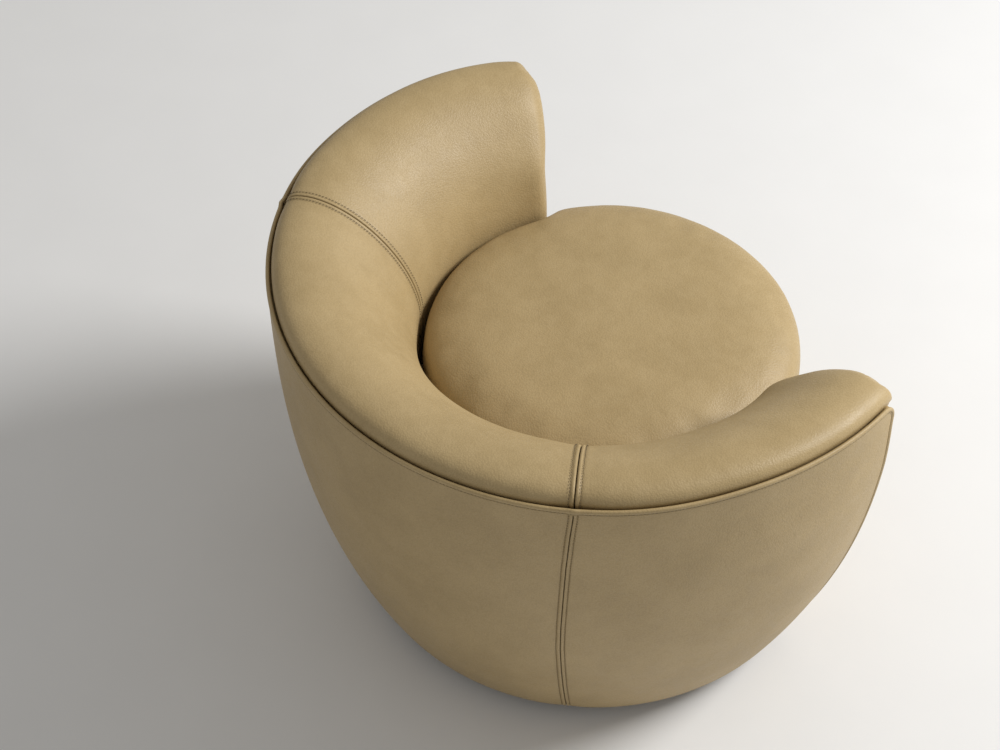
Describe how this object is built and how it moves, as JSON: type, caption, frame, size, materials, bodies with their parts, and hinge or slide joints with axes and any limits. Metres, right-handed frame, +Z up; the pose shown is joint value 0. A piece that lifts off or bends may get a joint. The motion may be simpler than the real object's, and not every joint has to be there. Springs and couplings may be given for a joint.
{
  "type": "swivel chair",
  "caption": "Low upholstered tub chair with a padded back that rolls over a tapered leather shell, a round domed seat and a recessed swivelling plinth.",
  "frame": {"origin": "on the floor, on the swivel's axis", "axes": "+Z up along the swivel's axis; -Y towards the front of the chair, +X towards the left arm of a person sitting in it"},
  "size_m": [0.85, 0.702, 0.587],
  "materials": {
    "leather": "pebbled, semi-matt",
    "padding_foam": "open-cell foam",
    "plywood": "raw birch plywood",
    "webbing": "woven elastic strap",
    "dust_cloth": "non-woven cloth",
    "plate_steel": "black, satin",
    "fastener_steel": "zinc plated",
    "cage_plastic": "moulded",
    "plinth_black": "board painted black",
    "felt": "pressed felt"
  },
  "bodies": {
    "base": {"floor_felt": "felt", "plinth": "plinth_black", "lower_plate": "plate_steel", "plinth_screws": "fastener_steel"},
    "bearing": {"bearing_balls": "fastener_steel", "ball_cage": "cage_plastic"},
    "chair": {"swivel_pin": "fastener_steel", "upper_plate": "plate_steel", "plate_bolts": "fastener_steel", "tee_nuts": "fastener_steel", "bottom_board": "plywood", "dust_cover": "dust_cloth", "arm_post_left": "plywood", "rib_side_left": "plywood", "rib_rear_left": "plywood", "rib_back": "plywood", "rib_rear_right": "plywood", "rib_side_right": "plywood", "arm_post_right": "plywood", "rib_screws": "fastener_steel", "top_rail": "plywood", "rail_screws": "fastener_steel", "seat_ring": "plywood", "ring_screws": "fastener_steel", "webbing_across": "webbing", "webbing_lengthwise": "webbing", "inner_panel": "plywood", "outer_panel": "plywood", "outer_padding": "padding_foam", "outer_cover_left": "leather", "outer_cover_back": "leather", "outer_cover_right": "leather", "rim_welt": "leather", "back_foam": "padding_foam", "back_cover_left": "leather", "back_cover_centre": "leather", "back_cover_right": "leather", "arm_front_pad_left": "padding_foam", "arm_front_pad_right": "padding_foam", "arm_front_cover_left": "leather", "arm_front_cover_right": "leather", "front_panel": "plywood", "front_cover": "leather", "seat_lining": "dust_cloth", "seat_foam": "padding_foam", "seat_cover": "leather"}
  },
  "joints": [
    {"name": "swivel", "type": "hinge", "parent": "base", "child": "chair", "pos_m": [0, 0, 0], "axis": [0, 0, 1], "continuous": true},
    {"name": "bearing_turn", "type": "hinge", "parent": "base", "child": "bearing", "pos_m": [0, 0, 0], "axis": [0, 0, 1], "continuous": true}
  ],
  "couplings": [
    {"joint": "bearing_turn", "follows": "swivel", "ratio": 0.5}
  ]
}
